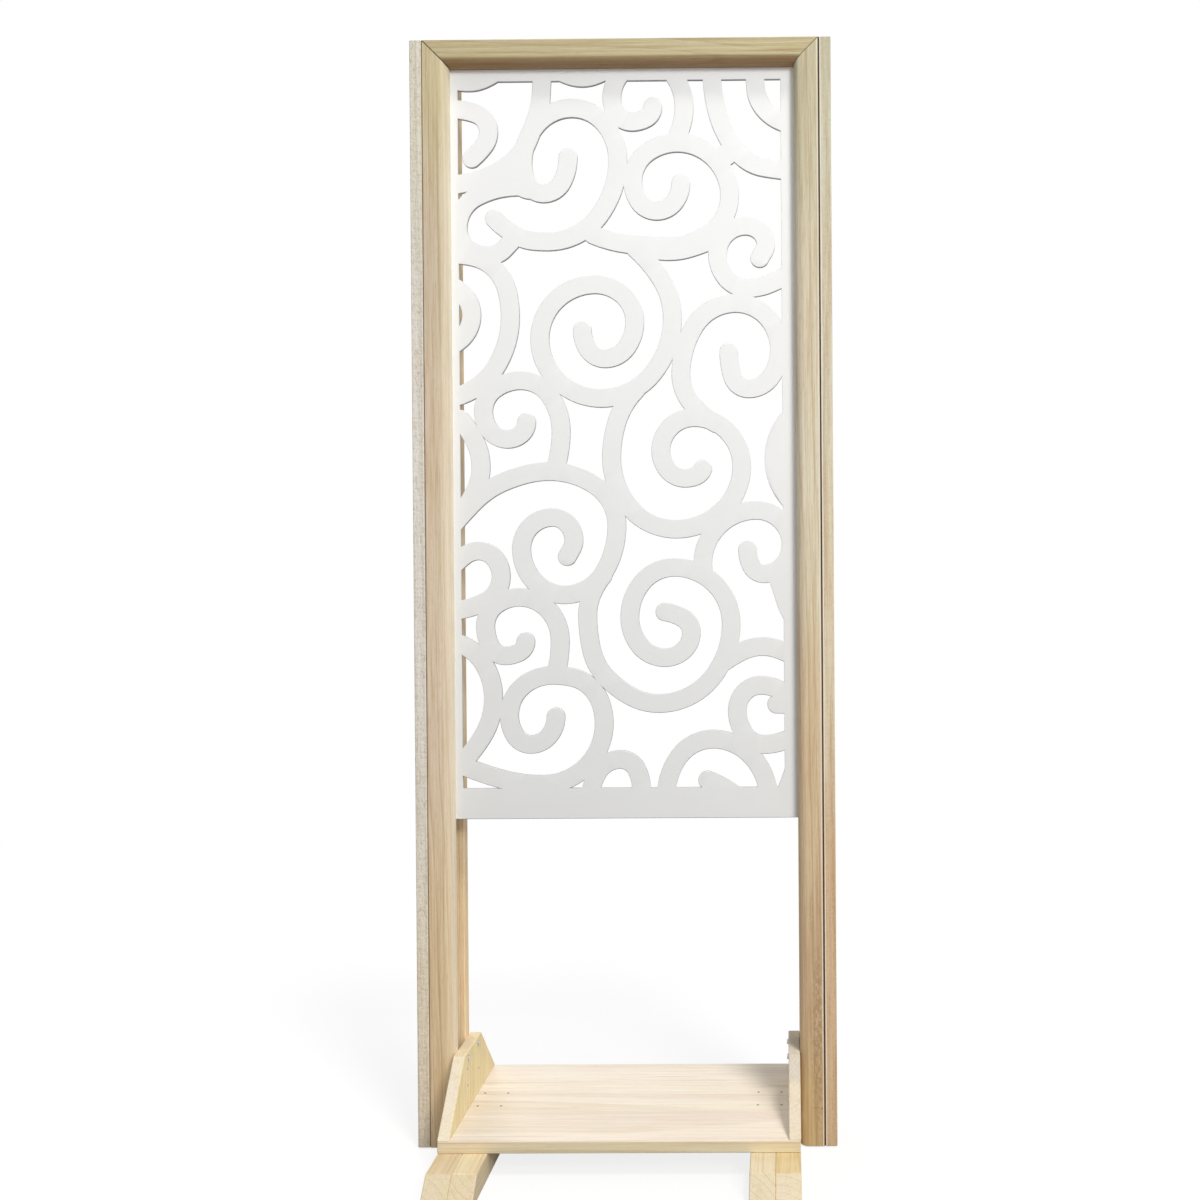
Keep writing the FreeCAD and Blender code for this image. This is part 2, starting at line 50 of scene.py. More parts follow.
class Field:
    """A value that varies over a surface. It wraps a node's socket, and its operators add Math nodes."""

    def __init__(self, finish, socket):
        self.finish = finish
        self.socket = socket

    def maths(self, operation, *values):
        return self.finish.add("ShaderNodeMath", {"operation": operation}, dict(enumerate(values)))

    def __add__(self, other):
        return self.maths("ADD", self, other)

    def __radd__(self, other):
        return self.maths("ADD", other, self)

    def __sub__(self, other):
        return self.maths("SUBTRACT", self, other)

    def __rsub__(self, other):
        return self.maths("SUBTRACT", other, self)

    def __mul__(self, other):
        return self.maths("MULTIPLY", self, other)

    def __rmul__(self, other):
        return self.maths("MULTIPLY", other, self)

    def __truediv__(self, other):
        return self.maths("DIVIDE", self, other)

    def __rtruediv__(self, other):
        return self.maths("DIVIDE", other, self)

    def __abs__(self):
        return self.maths("ABSOLUTE", self)

    def root(self):
        return self.maths("SQRT", self)

    def fraction(self):
        return self.maths("FRACT", self)

    def largest(self, other):
        return self.maths("MAXIMUM", self, other)

    def between(self, low, high):
        """0 below low, 1 above high, and smooth between them."""
        inputs = {"Value": self, "From Min": low, "From Max": high}
        return self.finish.add("ShaderNodeMapRange", {"interpolation_type": "SMOOTHSTEP"}, inputs)


class Finish:
    """The nodes of a material, or of the studio's surroundings, under construction."""

    def __init__(self, owner):
        owner.use_nodes = True
        self.owner = owner
        self.tree = owner.node_tree
        self.tree.nodes.clear()

    def add(self, kind, settings=None, inputs=None, out=0):
        """A node of that kind, with its settings and sockets, as the field of one of its outputs."""
        node = self.tree.nodes.new(kind)
        for name, value in (settings or {}).items():
            setattr(node, name, value)
        for key, value in (inputs or {}).items():
            socket = node.inputs[key]
            if isinstance(value, Field):
                self.tree.links.new(value.socket, socket)
            elif isinstance(value, tuple) and socket.type == "RGBA" and len(value) == 3:
                socket.default_value = (*value, 1)
            else:
                socket.default_value = value
        return Field(self, node.outputs[out]) if len(node.outputs) else None

    def parts(self, vector):
        """The x, y and z of a vector."""
        return [self.add("ShaderNodeSeparateXYZ", None, {0: vector}, out=axis) for axis in "XYZ"]

    def place(self):
        """The x, y and z of a point on the piece, in metres."""
        return self.parts(self.add("ShaderNodeTexCoord", out="Object"))

    def facing(self):
        """The x, y and z of the way that the surface faces."""
        return self.parts(self.add("ShaderNodeNewGeometry", out="True Normal"))

    def speckle(self, x, y, z, detail, rough=0.5):
        """Smooth random values round 0.5; the coordinates set its grain size."""
        spot = self.add("ShaderNodeCombineXYZ", None, {0: x, 1: y, 2: z})
        inputs = {"Vector": spot, "Scale": 1.0, "Detail": detail, "Roughness": rough}
        return self.add("ShaderNodeTexNoise", None, inputs, out="Fac")

    def dapple(self, cycles, detail):
        """Speckle of one grain size all ways, in cycles per metre."""
        return self.speckle(*[axis * cycles for axis in self.place()], detail)

    def blend(self, share, low, high, mode="MIX"):
        """Two colours mixed by a share."""
        settings = {"data_type": "RGBA", "blend_type": mode}
        return self.add("ShaderNodeMix", settings, {0: share, 6: low, 7: high}, out=2)

    def tint(self, share, colour, tint):
        """A colour multiplied by a tint, by a share."""
        return self.blend(share, colour, tint, "MULTIPLY")

    def bump(self, height, distance, strength, below=None):
        inputs = {"Height": height, "Distance": distance, "Strength": strength}
        if below is not None:
            inputs["Normal"] = below
        return self.add("ShaderNodeBump", None, inputs, out="Normal")

    def background(self):
        """1 for what the camera sees, straight or by way of metal or glass, 0 for the light on the piece."""
        rays = ["Is Camera Ray", "Is Glossy Ray", "Is Transmission Ray"]
        camera, glossy, clear = [self.add("ShaderNodeLightPath", out=ray) for ray in rays]
        return camera.largest(glossy).largest(clear)

    def close(self, **inputs):
        """Put a Principled shader on the output. Socket names are given with _ for a space."""
        named = {name.replace("_", " "): value for name, value in inputs.items()}
        shader = self.add("ShaderNodeBsdfPrincipled", None, named)
        self.add("ShaderNodeOutputMaterial", None, {"Surface": shader})
        return self.owner


def new_finish(name):
    return Finish(bpy.data.materials.new(name))


def linear(red, green, blue):
    """A colour as it looks on screen, 0 to 255, as the renderer's linear values."""
    shares = [level / 255 for level in (red, green, blue)]
    return tuple(s / 12.92 if s <= 0.04045 else ((s + 0.055) / 1.055) ** 2.4 for s in shares)


def tinted(colour, tint):
    return tuple(min(1, part * share) for part, share in zip(colour, tint))


def grey(level):
    return (level, level, level)


# Timber. Growth rings lie round a pith that runs along the board, a little tilted, so that the long faces
# show drawn-out lines and the cut ends show arcs.
# The axes across, through and along a board, by the axis that it runs along
BOARD_AXES = {"X": (Y, Z, X), "Y": (X, Z, Y), "Z": (X, Y, Z)}
ACROSS, THROUGH, ALONG = range(3)
# Layers of the grain: cycles per metre across and along the board, the axis that the seed moves, the start
# along the board, and the detail and roughness of the noise
GRAIN_LAYERS = {
    "sway": (4, 1.1, ACROSS, 0, 2.0, 0.5),
    "wander": (5, 1.4, THROUGH, 3.1, 2.0, 0.5),
    "streak": (85, 1.6, ACROSS, 0, 3.0, 0.55),
    "band": (38, 0.8, THROUGH, 7.0, 2.0, 0.5),
    "patch": (75, 6.5, THROUGH, 0, 3.0, 0.6),
    "thread": (230, 3.2, THROUGH, 0, 3.0, 0.6),
    "fibre": (560, 11, ACROSS, 0, 3.0, 0.65),
    "fleck": (900, 55, THROUGH, 0, 2.0, 0.6),
    "fuzz": (420, 330, THROUGH, 0, 4.0, 0.75),
    "torn": (320, 120, ALONG, 0, 3.0, 0.7),
    "saw_marks": (60, 220, ACROSS, 0, 2.0, 0.5),
    "curl": (300, 150, THROUGH, 0, 3.0, 0.7),
}
SEED_STEP = 0.37
NOISE_MIDDLE = 0.5
# How far the rings wander, in metres. How uneven they are: cycles per metre of radius and of length, and
# the number of years
RING_WANDER = 0.03
RING_CYCLES = 70
RING_CYCLES_ALONG = 0.3
RING_UNEVEN = 1.8
# Tints of a board's own tone
WARM = (1.0, 0.99, 0.985)
YELLOW = (0.99, 1.0, 0.92)
PALE = (1.15, 1.18, 1.22)
BROWN = (0.80, 0.68, 0.53)
DARKER = (0.70, 0.63, 0.58)
# Strengths of the layers that have no argument of their own
STREAK_SHARE = 0.45
RING_SHADE = 0.28
DARK_THREADS = 0.7
DARK_FLECKS = 0.8
FUZZ_SHARE = 0.6
TORN_SHARE = 0.42
SAW_MARK_SHARE = 0.35
# How much of the threads and fibres is lost on a cut end, and how strong the ragged parts of a stain are
END_FADE = 0.8
RAGGED_LEAST = 0.2
RAGGED_MORE = 1.1
# Depth of the relief, in metres, its strength, and how rough planed and sawn timber is
FIBRE_RELIEF = (0.0004, 0.4)
SAW_RELIEF = (0.0016, 0.8)
PLANED_ROUGHNESS = 0.66
SAWN_ROUGHER = 0.18
# Joints of the frame: how far the seams lie from the middle, and how high the mitres would meet there
SEAM = 0.306
MITRE = 1.409
# The share of a joint line that is fully dark. Beside a seam the arris has a painted highlight: from, full,
# still full and to, in metres beyond the dark line
SEAM_CORE = 0.6
MITRE_CORE = 0.5
SEAM_HIGHLIGHT_BAND = (0.0, 0.0008, 0.0012, 0.0022)
# Painted highlight beside the opening, where the stile's inner arris catches the light: width in metres and
# strength
HIGHLIGHT_BANDS = ((0.016, 0.35), (0.0015, 0.5))
CUT_EDGE = 0.001
GRIME = (0.075, 0.050, 0.050)
OLD_GLUE = (0.28, 0.20, 0.13)
# Colour of the painted highlights on the arrises
ARRIS_HIGHLIGHT = (0.92, 0.85, 0.69)
SAWN_FUZZ = (0.80, 0.79, 0.72)


def stained(finish, colour, spot, curl, stains):
    """Ragged spots, each given by its place, half its width and height, its colour and its strength."""
    ragged = RAGGED_LEAST + curl.between(0.40, 0.60) * RAGGED_MORE
    for x, z, wide, tall, stain, strength in stains:
        off_x = (spot[X] - x) / wide
        off_z = (spot[Z] - z) / tall
        mark = 1 - (off_x * off_x + off_z * off_z).root().between(0.3, 1.0)
        colour = finish.blend(mark * ragged * strength, colour, stain)
    return colour


def edge_tints(finish, colour, spot, painted_highlight, painted_under_shade, front_edge):
    """A painted highlight on the arris beside the opening, painted shade on the rail's bottom edge, and the
    front edge of the shelf.
    """
    if painted_highlight:
        # Painted highlight: pale bands along the stile's inner arris, where it catches the light
        for reach, share in HIGHLIGHT_BANDS:
            near = 1 - abs(spot[X]).between(painted_highlight, painted_highlight + reach)
            colour = finish.blend(near * share, colour, ARRIS_HIGHLIGHT)
    # Painted shade: the rail's bottom edge is darkened where light doesn't reach under it
    if painted_under_shade:
        low, high, shade = painted_under_shade
        colour = finish.tint(1 - spot[Z].between(low, high), colour, shade)
    if front_edge:
        place, shade = front_edge
        colour = finish.tint(1 - spot[Y].between(place, place + CUT_EDGE), colour, shade)
    return colour


def joint_lines(finish, colour, spot, seam, mitre):
    """Dark lines in the seams, with a painted highlight on the arris beside them, and in the mitres of the
    top corners.
    """
    side = abs(spot[X])
    if seam:
        reach, stain, highlight_share = seam
        gap = abs(side - SEAM)
        start, full, fade, stop = [reach + step for step in SEAM_HIGHLIGHT_BAND]
        # Painted highlight on the arris beside the seam, then the dark line in the seam
        arris = gap.between(start, full) * (1 - gap.between(fade, stop))
        colour = finish.blend(arris * highlight_share, colour, ARRIS_HIGHLIGHT)
        colour = finish.blend(1 - gap.between(reach * SEAM_CORE, reach), colour, stain)
    if mitre:
        reach, stain = mitre
        gap = abs(side - spot[Z] + MITRE)
        colour = finish.blend(1 - gap.between(reach * MITRE_CORE, reach), colour, stain)
    return colour


def timber(name, tone, along, pith, ring=0.011, lean=(0.012, 0.008), lines=0.55, figure=0.4, threads=0.45,
           fibres=0.4, rough_sawn=0.0, lift=(), slope=None, top=None, seam=None, mitre=None, painted_highlight=None,
           front_edge=None, painted_under_shade=None, stains=(), browning=BROWN):
    """Pale softwood: broad warm and yellowish streaks, thin year lines, fine fibres and brown figure.

    pith and lean place the rings, and ring is a year's width in metres. lines, figure, threads, fibres and
    rough_sawn are strengths. lift tints the board above given heights, slope its faces to the front and
    back, and top its upper faces; these tints are partly the board's own tone and partly painted light and
    shade.
    """
    finish = new_finish(name)
    spot = finish.place()
    facing = finish.facing()
    axes = BOARD_AXES[along]
    across, through, length = [spot[axis] for axis in axes]
    end = abs(facing[axes[ALONG]]).between(0.35, 0.75)
    narrow_edge = abs(facing[Y]).between(0.4, 0.65)
    long_face = 1 - end * END_FADE
    seed = sum(ord(letter) for letter in name) * SEED_STEP

    def grain(layer):
        """Noise drawn out along the board."""
        wide, long, seeded, start, detail, rough = GRAIN_LAYERS[layer]
        moves = [0, 0, start]
        moves[seeded] += seed
        scaled = [across * wide, through * wide, length * long]
        moved = [axis + move if move else axis for axis, move in zip(scaled, moves)]
        return finish.speckle(*moved, detail, rough)

    right = across - pith[0] + length * lean[0] + (grain("sway") - NOISE_MIDDLE) * RING_WANDER
    deep = through - pith[1] + length * lean[1] + (grain("wander") - NOISE_MIDDLE) * RING_WANDER
    radius = (right * right + deep * deep).root()
    uneven = finish.speckle(radius * RING_CYCLES + seed, 0.0, length * RING_CYCLES_ALONG, 3.0)
    year = (radius / ring + uneven * RING_UNEVEN).fraction()
    line = year.between(0.74, 0.95) * (1 - year.between(0.96, 1.0))
    streak = grain("streak")
    thread = grain("thread")
    fibre = grain("fibre")
    fleck = grain("fleck")

    pale = tinted(tone, PALE)
    brown = tinted(tone, browning)
    dark = tinted(brown, DARKER)
    threaded = long_face * threads
    fibrous = long_face * fibres
    layers = [
        (streak.between(0.46, 0.66) * STREAK_SHARE, tone),
        (grain("patch").between(0.50, 0.74) * figure, brown),
        (year.between(0.0, 0.95) * lines * RING_SHADE, brown),
        (line * lines * (0.3 + streak), dark),
        ((1 - thread).between(0.50, 0.68) * threaded, pale),
        (thread.between(0.50, 0.68) * threaded, brown),
        (thread.between(0.60, 0.70) * threaded * DARK_THREADS, dark),
        ((1 - fibre).between(0.48, 0.68) * fibrous, pale),
        (fibre.between(0.46, 0.68) * fibrous, brown),
        (fleck.between(0.56, 0.70) * fibrous * DARK_FLECKS, dark),
    ]
    colour = finish.blend(grain("band").between(0.40, 0.62), tinted(tone, WARM), tinted(tone, YELLOW))
    for share, shade in layers:
        colour = finish.blend(share, colour, shade)
    # Painted light and shade as well as tone: tints by height and by the way a face turns
    for low, high, shade in lift:
        colour = finish.tint(spot[Z].between(low, high), colour, shade)
    if slope:
        colour = finish.tint(narrow_edge, colour, slope)
    if top:
        colour = finish.tint(facing[Z].between(0.8, 0.95), colour, top)

    height = fibre * 0.6 - line * 0.5 - thread * 0.5 + fleck * 0.3
    normal = finish.bump(height, *FIBRE_RELIEF)
    roughness = PLANED_ROUGHNESS - line * 0.08 + fibre * 0.1
    if rough_sawn:
        fuzz = grain("fuzz")
        torn = grain("torn")
        marks = grain("saw_marks")
        sawn = narrow_edge * rough_sawn
        colour = finish.blend(fuzz.between(0.46, 0.62) * sawn * FUZZ_SHARE, colour, SAWN_FUZZ)
        colour = finish.blend(torn.between(0.54, 0.66) * sawn * TORN_SHARE, colour, dark)
        colour = finish.blend(marks.between(0.5, 0.7) * sawn * SAW_MARK_SHARE, colour, brown)
        depth, strength = SAW_RELIEF
        height = (fuzz * 0.5 - torn * 0.8 + marks * 0.5) * narrow_edge
        normal = finish.bump(height, depth, strength * rough_sawn, normal)
        roughness = roughness + SAWN_ROUGHER
    if stains:
        colour = stained(finish, colour, spot, grain("curl"), stains)
    colour = edge_tints(finish, colour, spot, painted_highlight, painted_under_shade, front_edge)
    colour = joint_lines(finish, colour, spot, seam, mitre)
    return finish.close(Base_Color=colour, Roughness=roughness, Normal=normal)


# Paint and metal. Cycles are per metre, and the lower panel, which gets painted shade, is given by its
# heights.
PAINT = (linear(250, 250, 249), linear(253, 253, 253))
LOWER_PAINTED_SHADE = (0.80, 0.80, 0.795)
LOWER_PANEL = (0.45, 1.55)
CUT_WALL_SHADE = linear(158, 157, 155)
CUT_UNDERSIDE_SHADE = linear(96, 95, 94)
MOTTLE_CYCLES = 16
ROLLER_CYCLES = 420
SAW_CYCLES = 900
SAW_CYCLES_THROUGH = 60
DIRT_CYCLES = 700
RUST_CYCLES = 500
ZINC = (0.66, 0.66, 0.68)
ZINC_DIRT = (0.32, 0.31, 0.33)
IRON = (0.10, 0.095, 0.09)
RUST = (0.16, 0.085, 0.045)


def white_satin():
    """Painted sheet: white with a trace of roller texture; painted shade on the cut walls of the scrolls,
    darker on the walls that face down, and painted shade over the lower panel.
    """
    finish = new_finish("panel_white_satin")
    x, y, z = finish.place()
    _, front, upwards = finish.facing()
    mottle = finish.dapple(MOTTLE_CYCLES, 3.0)
    roller = finish.dapple(ROLLER_CYCLES, 2.0)
    saw = finish.speckle(x * SAW_CYCLES, y * SAW_CYCLES_THROUGH, z * SAW_CYCLES, 2.0)
    wall = 1 - abs(front).between(0.35, 0.85)
    hanging = (0 - upwards).between(0.2, 0.65)
    lower_shade = 1 - z.between(*LOWER_PANEL)
    colour = finish.blend(mottle, *PAINT)
    # Painted shade: the lower panel is darker, as the light falls off towards the bottom
    colour = finish.tint(lower_shade, colour, LOWER_PAINTED_SHADE)
    # Painted shade on the cut walls, and more on the walls that face down, strongest on the lower panel
    colour = finish.blend(wall * (0.7 + saw * 0.3), colour, CUT_WALL_SHADE)
    colour = finish.blend(hanging * (0.32 + lower_shade * 0.63), colour, CUT_UNDERSIDE_SHADE)
    return finish.close(Base_Color=colour, Roughness=0.42 + mottle * 0.08 + wall * 0.2,
                        Normal=finish.bump(roller, 0.0002, 0.18))


def zinc():
    """Bright plated screws with a little dirt."""
    finish = new_finish("screw_zinc")
    dirt = finish.dapple(DIRT_CYCLES, 3.0)
    colour = finish.blend(dirt.between(0.45, 0.7), ZINC, ZINC_DIRT)
    return finish.close(Base_Color=colour, Metallic=1.0, Roughness=0.28 + dirt * 0.2,
                        Normal=finish.bump(dirt, 0.0001, 0.3))


def nail_iron():
    """Dull nail heads, darkened and a little rusty."""
    finish = new_finish("nail_iron")
    rust = finish.dapple(RUST_CYCLES, 3.0)
    colour = finish.blend(rust.between(0.4, 0.65), IRON, RUST)
    return finish.close(Base_Color=colour, Metallic=0.25, Roughness=0.55 + rust * 0.25,
                        Normal=finish.bump(rust, 0.0002, 0.5))


# Pieces. Edges sharper than SHARP are rounded, faces that turn by less than FLAT are joined, and shading
# is smooth across edges of less than SMOOTH.
SHARP = math.radians(25)
FLAT = math.radians(0.4)
SMOOTH = math.radians(35)
SAME_PLACE = 1e-6


def merged(node):
    """A copy of a node's shape with its loose triangles joined up."""
    shape = bmesh.new()
    shape.from_mesh(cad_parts[node].data)
    bmesh.ops.remove_doubles(shape, verts=shape.verts, dist=SAME_PLACE)
    return shape


def as_mesh(shape, name):
    mesh = bpy.data.meshes.new(name)
    shape.to_mesh(mesh)
    shape.free()
    return mesh


def softened(node, arris, shortest=0.0):
    """A copy with its flat faces joined and its sharp edges rounded, apart from the short ones."""
    shape = merged(node)
    bmesh.ops.dissolve_limit(shape, angle_limit=FLAT, verts=shape.verts, edges=shape.edges)
    inner = [edge for edge in shape.edges if len(edge.link_faces) == 2]
    sharp = [edge for edge in inner if edge.calc_face_angle() > SHARP and edge.calc_length() > shortest]
    bmesh.ops.bevel(shape, geom=sharp, offset=arris, offset_type="OFFSET", affect="EDGES", segments=2,
                    profile=0.5, material=-1, clamp_overlap=True)
    return as_mesh(shape, node + "_soft")


def eased_sheet(node, arris):
    """A copy of a flat sheet with a narrow chamfer round every cut, front and back."""
    shape = merged(node)
    low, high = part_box(node)
    for plane, inwards in ((low[Y], arris), (high[Y], -arris)):
        faces = [face for face in shape.faces
                 if all(abs(vert.co.y - plane) < SAME_PLACE for vert in face.verts)]
        rim = list({vert for face in faces for vert in face.verts})
        bmesh.ops.translate(shape, verts=rim, vec=(0, inwards, 0))
        bmesh.ops.inset_region(shape, faces=faces, thickness=arris, depth=arris, use_even_offset=True,
                               use_boundary=True)
    return as_mesh(shape, node + "_eased")


def in_scene(name, data):
    thing = bpy.data.objects.new(name, data)
    scene.collection.objects.link(thing)
    return thing


def shown(name, mesh, node, material):
    """Put a finished mesh in the scene in place of its node."""
    piece = in_scene(name, mesh)
    mesh.polygons.foreach_set("use_smooth", [True] * len(mesh.polygons))
    mesh.set_sharp_from_angle(angle=SMOOTH)
    flat_faces = piece.modifiers.new("flat_faces", "WEIGHTED_NORMAL")
    flat_faces.keep_sharp = True
    mesh.materials.clear()
    mesh.materials.append(material)
    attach(piece, "root")
    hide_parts(node)


# Tones of the timbers
LEFT_EDGE = linear(235, 217, 192)
LEFT_FACE = linear(218, 194, 158)
RIGHT_FACE = linear(203, 176, 134)
RIGHT_EDGE = linear(208, 177, 140)
RAIL_FACE = linear(200, 188, 150)
BACK_FACE = linear(243, 218, 178)
SHELF_FACE = linear(236, 226, 214)
LEFT_CHEEK = linear(238, 222, 179)
RIGHT_CHEEK = linear(223, 209, 188)
FOOT_FACE = linear(223, 207, 175)
OCHRE_FOOT = linear(222, 203, 163)
BATTEN_FACE = linear(216, 196, 162)
SAWN_EDGE_BROWN = (0.75, 0.73, 0.66)
# Tints by height, partly the boards' own tone and partly painted light and shade, lighter low down and
# darker near the top: nothing below the first height, all of the tint above the second
LEFT_EDGE_LIFT = ((0.2, 0.5, (1.0, 1.09, 1.28)), (0.5, 0.9, (1.02, 1.05, 1.08)),
                  (1.3, 1.55, (0.95, 0.94, 0.88)))
LEFT_LIFT = ((0.25, 0.7, (1.05, 1.12, 1.35)), (1.12, 1.32, (0.90, 0.92, 0.89)),
             (1.4, 1.66, (0.97, 0.99, 0.84)))
RIGHT_LIFT = ((0.09, 0.19, (1.0, 1.0, 1.17)), (0.3, 0.5, (1.10, 1.16, 1.20)),
              (0.62, 1.0, (1.09, 1.27, 1.46)), (1.3, 1.6, (0.86, 0.89, 0.82)))
STRIP_LIFT = ((0.4, 0.75, (1.14, 1.38, 1.68)), (0.9, 1.15, (1.0, 1.08, 1.16)),
              (1.3, 1.6, (0.92, 0.96, 0.98)), (1.58, 1.69, (0.88, 0.85, 0.80)))
# Painted shadow: the right cheek's upper part is darker, as if in the stile's shadow
CHEEK_PAINTED_SHADOW = ((0.111, 0.121, (0.85, 0.89, 0.95)),)
# Stains: place across and up, half the width and height, colour and strength
RESIN = (0.60, 0.33, 0.12)
FIGURE = (0.36, 0.23, 0.11)
RED_SPOT = (0.42, 0.10, 0.03)
STILE_STAINS = ((0.3008, 0.0605, 0.0034, 0.0028, RED_SPOT, 1.4), (0.292, 0.062, 0.009, 0.0015, FIGURE, 0.9),
                (0.287, 0.36, 0.006, 0.05, FIGURE, 0.35), (0.270, 0.12, 0.005, 0.07, RESIN, 0.45),
                (0.297, 0.17, 0.016, 0.21, FIGURE, 0.62))
STRIP_STAINS = ((0.3085, 0.46, 0.002, 0.06, RESIN, 0.55), (0.323, 0.47, 0.003, 0.06, RESIN, 0.3))
# Joint lines: half the width of the dark line, its colour, and for a seam how strong the painted highlight
# on the arris beside it is
LEFT_SEAM = (0.0009, OLD_GLUE, 0.0)
RIGHT_SEAM = (0.0015, GRIME, 0.8)
LEFT_MITRE = (0.0018, GRIME)
RIGHT_MITRE = (0.0012, OLD_GLUE)
RAIL_MITRE = (0.0008, OLD_GLUE)
# Edges: the stile's inner arris, which gets a painted highlight, the rail's bottom edge, which gets painted
# shade, and the front edge of the shelf
STILE_ARRIS = 0.2681
RAIL_PAINTED_SHADE = (1.683, 1.690, (0.58, 0.43, 0.37))
SHELF_EDGE = (-0.1252, (0.90, 0.85, 0.69))
# Grain that several boards share
SHELF_GRAIN = {"lines": 0.24, "figure": 0.16, "threads": 0.22, "fibres": 0.22}
CHEEK_GRAIN = {"ring": 0.0045, "lean": (0.05, 0.05), "lines": 0.2, "threads": 0.3, "fibres": 0.3,
               "rough_sawn": 0.45}
FOOT_GRAIN = {"ring": 0.008, "lines": 0.26, "threads": 0.3, "fibres": 0.3, "rough_sawn": 0.35}

TIMBERS = {
    "side_board_left": ("frame_timber", timber(
        "timber_side_left", LEFT_EDGE, "Z", (-0.42, 0.06), lines=0.4, figure=0.12, threads=0.35,
        rough_sawn=1.0, lift=LEFT_EDGE_LIFT, seam=LEFT_SEAM, browning=SAWN_EDGE_BROWN)),
    "side_board_right": ("frame_timber", timber(
        "timber_side_right", RIGHT_EDGE, "Z", (0.37, -0.11), lines=0.45, rough_sawn=0.3, lift=STRIP_LIFT,
        seam=RIGHT_SEAM, stains=STRIP_STAINS)),
    "front_stile_left": ("moulding_timber", timber(
        "timber_stile_left", LEFT_FACE, "Z", (-0.24, 0.02), figure=0.5, lift=LEFT_LIFT, seam=LEFT_SEAM,
        mitre=LEFT_MITRE, painted_highlight=STILE_ARRIS)),
    "front_stile_right": ("moulding_timber", timber(
        "timber_stile_right", RIGHT_FACE, "Z", (0.35, 0.0), figure=0.6, lift=RIGHT_LIFT, seam=RIGHT_SEAM,
        mitre=RIGHT_MITRE, stains=STILE_STAINS)),
    "front_top_rail": ("moulding_timber", timber(
        "timber_rail_front", RAIL_FACE, "X", (0.12, 1.80), lean=(0.02, 0.03), figure=0.6, threads=0.7,
        painted_under_shade=RAIL_PAINTED_SHADE, mitre=RAIL_MITRE)),
    "back_stile_left": ("moulding_timber", timber(
        "timber_back_left", BACK_FACE, "Z", (-0.33, 0.09), seam=LEFT_SEAM)),
    "back_stile_right": ("moulding_timber", timber(
        "timber_back_right", BACK_FACE, "Z", (0.22, 0.07), seam=LEFT_SEAM)),
    "panel_batten_left": ("batten_timber", timber("timber_batten_left", BATTEN_FACE, "Z", (-0.2, 0.1))),
    "panel_batten_right": ("batten_timber", timber("timber_batten_right", BATTEN_FACE, "Z", (0.35, 0.08))),
    "panel_batten_top": ("batten_timber", timber("timber_batten_top", BATTEN_FACE, "X", (0.1, 1.6))),
    "shelf_front_board": ("shelf_timber", timber(
        "timber_shelf_front", SHELF_FACE, "X", (-0.05, -0.09), ring=0.024, lean=(0.05, 0.02),
        front_edge=SHELF_EDGE, **SHELF_GRAIN)),
    "shelf_rear_board": ("shelf_timber", timber(
        "timber_shelf_rear", SHELF_FACE, "X", (0.13, 0.16), ring=0.02, **SHELF_GRAIN)),
    "cheek_left": ("cheek_timber", timber(
        "timber_cheek_left", LEFT_CHEEK, "Z", (-0.29, -0.03), slope=(0.94, 0.98, 1.27),
        top=(0.93, 0.92, 1.05), **CHEEK_GRAIN)),
    "cheek_right": ("cheek_timber", timber(
        "timber_cheek_right", RIGHT_CHEEK, "Z", (0.23, -0.01), lift=CHEEK_PAINTED_SHADOW, **CHEEK_GRAIN)),
    "foot_left_outer": ("foot_timber", timber(
        "timber_foot_a", FOOT_FACE, "Y", (-0.30, -0.06), slope=(0.93, 0.94, 0.95), top=(0.93, 0.89, 0.84),
        **FOOT_GRAIN)),
    "foot_left_inner": ("foot_timber", timber(
        "timber_foot_b", FOOT_FACE, "Y", (-0.16, 0.10), slope=(0.94, 0.92, 0.92), top=(1.08, 1.09, 1.08),
        **FOOT_GRAIN)),
    "foot_right_inner": ("foot_timber", timber(
        "timber_foot_c", FOOT_FACE, "Y", (0.15, -0.06), slope=(0.94, 0.95, 0.98), top=(1.01, 1.02, 1.05),
        **FOOT_GRAIN)),
    "foot_right_outer": ("foot_timber", timber(
        "timber_foot_d", OCHRE_FOOT, "Y", (0.22, -0.07), slope=(0.97, 1.02, 1.20), top=(0.94, 0.91, 0.80),
        **FOOT_GRAIN)),
}
# Rounding of the edges, in metres, and the longest edge of a nail hole's rim, which stays sharp
TIMBER_ARRIS = 0.0004
HOLE_RIM = 0.0008
PANEL_ARRIS = 0.0008
CHEEK_SCREW_ARRIS = 0.0005
PANEL_SCREW_ARRIS = 0.0004
NAIL_ARRIS = 0.0003
for node, (slot, material) in TIMBERS.items():
    shown(node + "_timber", softened(node, TIMBER_ARRIS, HOLE_RIM), node, material)

fretwork = eased_sheet("scroll_panel", PANEL_ARRIS)
shown("fretwork_sheet", fretwork, "scroll_panel", white_satin())
plated = zinc()
cheek_screws = softened("cheek_screws", CHEEK_SCREW_ARRIS)
shown("cheek_screw_heads", cheek_screws, "cheek_screws", plated)
iron = nail_iron()
for node in ("frame_brads", "mitre_brads", "cheek_nails", "shelf_nails"):
    shown(node + "_driven", softened(node, NAIL_ARRIS), node, iron)
panel_screws = softened("panel_screws", PANEL_SCREW_ARRIS)
shown("panel_screws_driven", panel_screws, "panel_screws", plated)

# Floor: grey where it lights the piece. The camera sees it pale near the piece and white further off.
FLOOR_RADIUS = 9.0
FLOOR_SIDES = 64
# Distances from the middle, in metres
WHITE_FROM = 1.2
WHITE_AT = 3.2
FLOOR_GREY = grey(0.25)
FLOOR_SEEN = grey(0.18)
FLOOR_GLOW = grey(0.82)
WHITE = grey(1)


